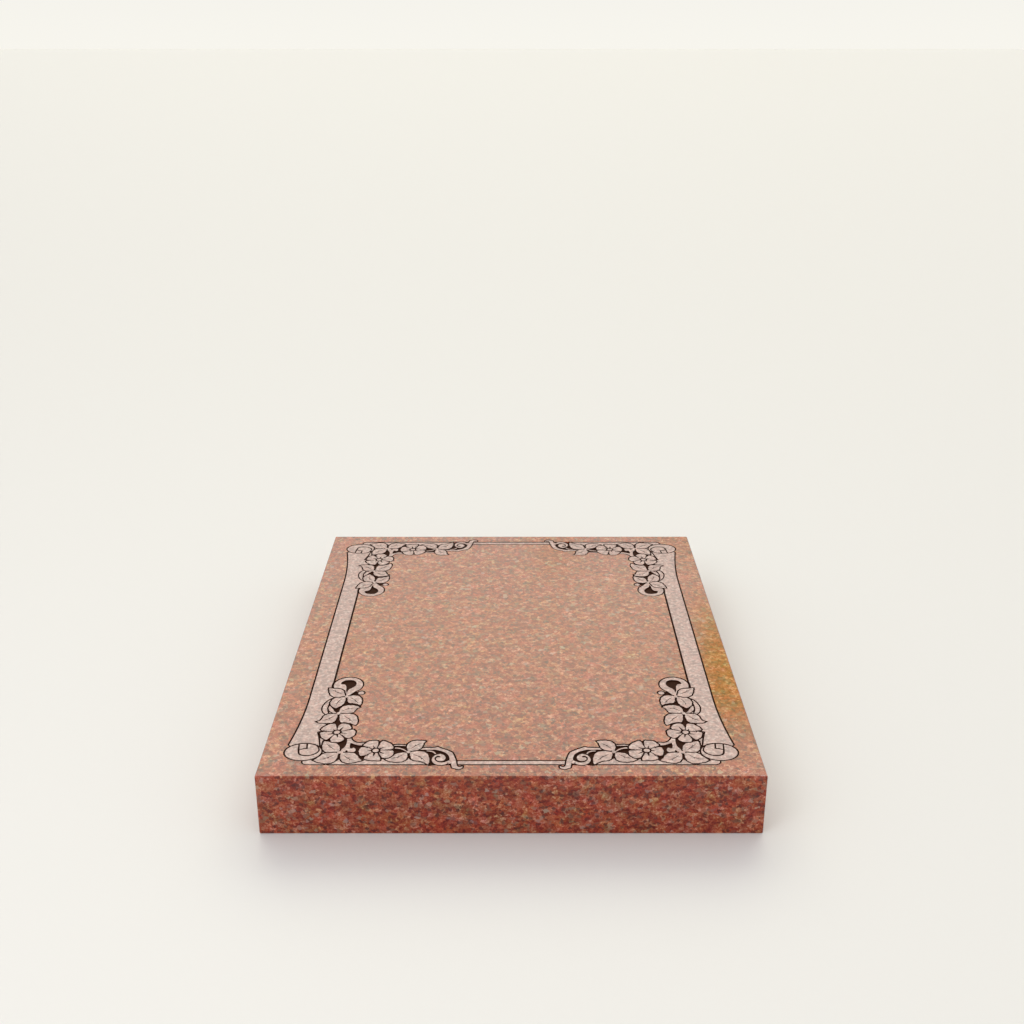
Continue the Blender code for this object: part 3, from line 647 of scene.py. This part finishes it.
pick(cut_top)
mirror = cut_top.modifiers.new("four_quarters", "MIRROR")
mirror.use_axis = (True, True, False)
mirror.merge_threshold = touching
bpy.ops.object.modifier_apply(modifier="four_quarters")

# The finishes. Polished stone outside and inside the border, frosted stone on the ornament,
# and dark paint rubbed into the cuts. The grain runs through the whole block, so it meets at the edges.
feldspar = ((0.0, (0.105, 0.0058, 0.0035)), (0.17, (0.180, 0.0150, 0.0063)),
            (0.33, (0.250, 0.0300, 0.0105)), (0.5, (0.300, 0.0530, 0.0185)),
            (0.67, (0.352, 0.0900, 0.0420)), (0.83, (0.408, 0.143, 0.0820)), (1.0, (0.545, 0.266, 0.176)))
quartz = ((0.0, (0.15, 0.052, 0.032)), (0.6, (0.21, 0.098, 0.066)), (1.0, (0.40, 0.27, 0.215)))
mica = (0.070, 0.013, 0.011, 1)
blasted_stone = (0.675, 0.520, 0.480, 1)
blasted_grey = (0.370, 0.285, 0.265, 1)
blasted_pale = (0.84, 0.71, 0.655, 1)
# Painted shade for the frosted stone where it sinks deeper: it starts 0.28 mm below the polish and is full
# at 0.9 mm.
hollow_shade_colour = (0.21, 0.115, 0.08, 1)
shade_starts_below = thickness - 0.00028
shade_full_below = thickness - 0.0009
cut_paint = ((0.35, (0.023, 0.0065, 0.002)), (0.7, (0.045, 0.0125, 0.005)))


class Reading:
    """A number that changes over a surface. Sums on it are shader nodes."""

    def __init__(self, finish, socket):
        self.finish = finish
        self.socket = socket

    def worked(self, operation, first, second):
        return self.finish.node("Math", {"operation": operation}, {0: first, 1: second})

    def __add__(self, other):
        return self.worked("ADD", self, other)

    def __radd__(self, other):
        return self.worked("ADD", other, self)

    def __sub__(self, other):
        return self.worked("SUBTRACT", self, other)

    def __rsub__(self, other):
        return self.worked("SUBTRACT", other, self)

    def __mul__(self, other):
        return self.worked("MULTIPLY", self, other)

    def __rmul__(self, other):
        return self.worked("MULTIPLY", other, self)

    def __gt__(self, other):
        return self.worked("GREATER_THAN", self, other)


class Finish:
    """A material being made up. One method adds each of its nodes."""

    def __init__(self, name):
        self.material = bpy.data.materials.new(name)
        self.material.use_nodes = True
        self.tree = self.material.node_tree
        self.shader = self.tree.nodes["Principled BSDF"]

    def feed(self, socket, value):
        if isinstance(value, Reading):
            self.tree.links.new(value.socket, socket)
        else:
            socket.default_value = value

    def node(self, kind, settings, feeds, out=0):
        made = self.tree.nodes.new("ShaderNode" + kind)
        for name, value in settings.items():
            if name == "stops":
                stops = made.color_ramp.elements
                stops[0].position = value[0][0]
                stops[1].position = value[-1][0]
                for place, _ in value[1:-1]:
                    stops.new(place)
                for stop, (_, colour) in zip(stops, value):
                    stop.color = (*colour, 1)
            else:
                setattr(made, name, value)
        for name, value in feeds.items():
            self.feed(made.inputs[name], value)
        return Reading(self, made.outputs[out])

    def mixed(self, share, first, second, blend="MIX"):
        """Two colours mixed by a share."""
        settings = {"data_type": "RGBA", "blend_type": blend}
        return self.node("Mix", settings, {0: share, 6: first, 7: second}, 2)

    def noise(self, place, scale, detail, out=0):
        """Cloudy noise, as a number, or as a colour where out is 1."""
        return self.node("TexNoise", {}, {"Vector": place, "Scale": scale, "Detail": detail}, out)

    def carried(self, value, start, stop, first, last, way="LINEAR"):
        """A number carried from one range to another and held at both ends."""
        feeds = {0: value, 1: start, 2: stop, 3: first, 4: last}
        return self.node("MapRange", {"interpolation_type": way}, feeds)


def grains(finish, place, scale):
    """Three chance numbers for each grain of a given size, as red, green and blue."""
    cell = finish.node("TexVoronoi", {}, {"Vector": place, "Scale": scale, "Randomness": 1.0}, 1)
    return [finish.node("SeparateColor", {}, {0: cell}, k) for k in range(3)]


def granite_colour(finish):
    """The stone's own colour: red feldspar, lighter and darker by the grain, with quartz and mica."""
    spot = finish.node("TexCoord", {}, {}, 3)
    wobble = finish.noise(spot, 260.0, 3.0, 1)
    wobble = finish.node("VectorMath", {"operation": "SUBTRACT"}, {0: wobble, 1: (0.5, 0.5, 0.5)})
    wobble = finish.node("VectorMath", {"operation": "SCALE"}, {0: wobble, 3: 0.006})
    place = finish.node("VectorMath", {"operation": "ADD"}, {0: spot, 1: wobble})
    place = finish.node("VectorMath", {"operation": "MULTIPLY"}, {0: place, 1: (1.0, 1.0, 1.25)})
    coarse = grains(finish, place, 135.0)
    medium = grains(finish, place, 215.0)
    small = grains(finish, place, 330.0)
    cloud = finish.noise(spot, 330.0, 3.0)
    fine = finish.noise(spot, 900.0, 2.0)
    tone = 0.55 * coarse[0] + 0.42 * medium[0] + 0.18 * small[0] + cloud + 0.5 * fine - 0.825
    stone = finish.node("ValToRGB", {"stops": feldspar}, {0: tone})
    grey = finish.node("ValToRGB", {"stops": quartz}, {0: coarse[2]})
    stone = finish.mixed(0.65 * (coarse[1] > 0.87), stone, grey)
    stone = finish.mixed(0.70 * (medium[1] > 0.90), stone, mica)
    tint = finish.noise(spot, 50.0, 3.0, 1)
    tint = finish.node("VectorMath", {"operation": "MULTIPLY_ADD"}, {
        0: tint, 1: (0.95, 0.95, 1.20), 2: (0.525, 0.525, 0.362)})
    return finish.mixed(1.0, stone, tint, "MULTIPLY"), spot, fine


polished = Finish("polished_red_granite")
colour, spot, fine = granite_colour(polished)
polished.feed(polished.shader.inputs["Base Color"], colour)
polished.feed(polished.shader.inputs["Roughness"], 0.07 + 0.05 * fine)
polished.feed(polished.shader.inputs["Specular IOR Level"], 0.42)

frosted = Finish("frosted_red_granite")
colour, spot, fine = granite_colour(frosted)
colour = frosted.mixed(0.73, colour, blasted_stone)
grey = frosted.carried(frosted.noise(spot, 130.0, 4.0), 0.43, 0.61, 0.0, 0.8)
colour = frosted.mixed(grey, colour, blasted_grey)
pale = frosted.carried(frosted.noise(spot, 210.0, 3.0), 0.51, 0.65, 0.0, 0.5)
colour = frosted.mixed(pale, colour, blasted_pale)
# Painted shade: the frosted stone is darkened towards brown where it sinks below its frosted level, in the
# shallow veins and where its edges slope down into the cuts.
height = frosted.node("SeparateXYZ", {}, {0: spot}, 2)
hollow_shade = frosted.carried(height, shade_full_below, shade_starts_below, 0.6, 0.0, "SMOOTHSTEP")
frosted.feed(frosted.shader.inputs["Base Color"], frosted.mixed(hollow_shade, colour, hollow_shade_colour))
frosted.feed(frosted.shader.inputs["Roughness"], 0.78 + 0.15 * fine)
pits = frosted.noise(spot, 1100.0, 2.0)
frosted.feed(frosted.shader.inputs["Normal"], frosted.node("Bump", {}, {
    "Strength": 0.5, "Distance": 0.0004, "Height": pits}))

painted = Finish("dark_painted_cuts")
spot = painted.node("TexCoord", {}, {}, 3)
pits = painted.noise(spot, 900.0, 3.0)
painted.feed(painted.shader.inputs["Base Color"], painted.node("ValToRGB", {"stops": cut_paint}, {0: pits}))
painted.feed(painted.shader.inputs["Roughness"], 0.8 + 0.15 * pits)
painted.feed(painted.shader.inputs["Specular IOR Level"], 0.12)
painted.feed(painted.shader.inputs["Normal"], painted.node("Bump", {}, {
    "Strength": 0.6, "Distance": 0.0005, "Height": pits}))

for finish in (polished, frosted, painted):
    slab.data.materials.append(finish.material)
    cut_top.data.materials.append(finish.material)
pick(cut_top, slab)
bpy.ops.object.join()
bpy.ops.object.mode_set(mode="EDIT")
bpy.ops.mesh.select_all(action="SELECT")
bpy.ops.mesh.remove_doubles(threshold=touching)
bpy.ops.mesh.normals_make_consistent(inside=False)
bpy.ops.object.mode_set(mode="OBJECT")
bpy.ops.object.shade_smooth_by_angle(angle=math.radians(30))
weighted = slab.modifiers.new("flat_faces_stay_flat", "WEIGHTED_NORMAL")
weighted.keep_sharp = True
bpy.ops.object.modifier_apply(modifier="flat_faces_stay_flat")
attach(slab, "root")
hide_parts("ledger_slab")

# The studio floor. A wide plain sheet of pale paper that the slab lies on.
# It is there for the picture alone and is no part of the memorial.
bpy.ops.mesh.primitive_plane_add(size=60, location=(0, 20, 0))
floor = bpy.context.object
floor.name = "pale_floor"
bpy.ops.object.transform_apply(location=True, rotation=True, scale=True)
paper = Finish("pale_paper")
paper.feed(paper.shader.inputs["Base Color"], (0.765, 0.755, 0.765, 1))
paper.feed(paper.shader.inputs["Roughness"], 0.6)
floor.data.materials.append(paper.material)

# The light. A pale room with a haze above the floor, and a wide soft panel high beyond the slab that
# shines in its polish. Small warm areas in the panel tint that shine, and one soft lamp from the
# front left shapes the edges.
room_white = (1.0, 0.99, 0.96, 1)
haze_white = (1.0, 0.98, 0.91, 1)
panel_low = (1.0, 0.955, 0.70, 1)
panel_high = (1.0, 0.985, 0.80, 1)
side_ochre = (0.74, 0.63, 0.10, 1)
back_ochre = (0.76, 0.66, 0.16, 1)
room = bpy.data.worlds.new("pale_room")
room.use_nodes = True
scene.world = room


class RoomLight(Finish):
    """The room's light, made up like a finish."""

    def __init__(self, world):
        self.tree = world.node_tree
        self.shader = self.tree.nodes["Background"]

    def ramp(self, value, start, stop):
        """A smooth rise from 0 to 1."""
        return self.carried(value, start, stop, 0.0, 1.0, "SMOOTHSTEP")

    def between(self, value, start, full, fading, gone):
        """A smooth rise from 0 to 1 and back to 0."""
        return self.ramp(value, start, full) * (1 - self.ramp(value, fading, gone))


light = RoomLight(room)
way = light.node("TexCoord", {}, {}, 0)
right, away, up = [light.node("SeparateXYZ", {}, {0: way}, k) for k in range(3)]
across = light.node("Math", {"operation": "ABSOLUTE"}, {0: right})
panel = (light.between(up, 0.22, 0.52, 0.70, 0.88) * (1 - light.ramp(across, 0.35, 0.60))
         * light.ramp(away, 0.05, 0.35))
shine = light.mixed(light.ramp(up, 0.42, 0.58), panel_low, panel_high)
side_glow = light.between(right, 0.135, 0.16, 0.22, 0.30) * light.between(up, 0.415, 0.455, 0.50, 0.53)
back_glow = light.between(right, 0.10, 0.13, 0.17, 0.22) * (1 - light.ramp(up, 0.38, 0.41))
patch = light.node("Math", {"operation": "ABSOLUTE"}, {0: right - 0.035})
patch_glow = (1 - light.ramp(patch, 0.005, 0.03)) * (1 - light.ramp(up, 0.40, 0.425))
shine = light.mixed(side_glow, shine, side_ochre)
shine = light.mixed(0.75 * back_glow + 0.5 * patch_glow, shine, back_ochre)
haze = 1 - light.ramp(up, -0.05, 0.20)
plain = light.mixed(haze, room_white, haze_white)
light.feed(light.shader.inputs["Color"], light.mixed(panel, plain, shine))
light.feed(light.shader.inputs["Strength"], 0.80 + 0.14 * haze + 2.2 * panel)

lamp_place = Vector((-1.9, -2.4, 2.6))
slab_heart = Vector((0, 0, 0.05))
aim = (slab_heart - lamp_place).to_track_quat("-Z", "Y").to_euler()
bpy.ops.object.light_add(type="AREA", location=lamp_place, rotation=aim)
lamp = bpy.context.object
lamp.name = "front_lamp"
lamp.data.size = 1.4
lamp.data.energy = 20
lamp.visible_camera = False
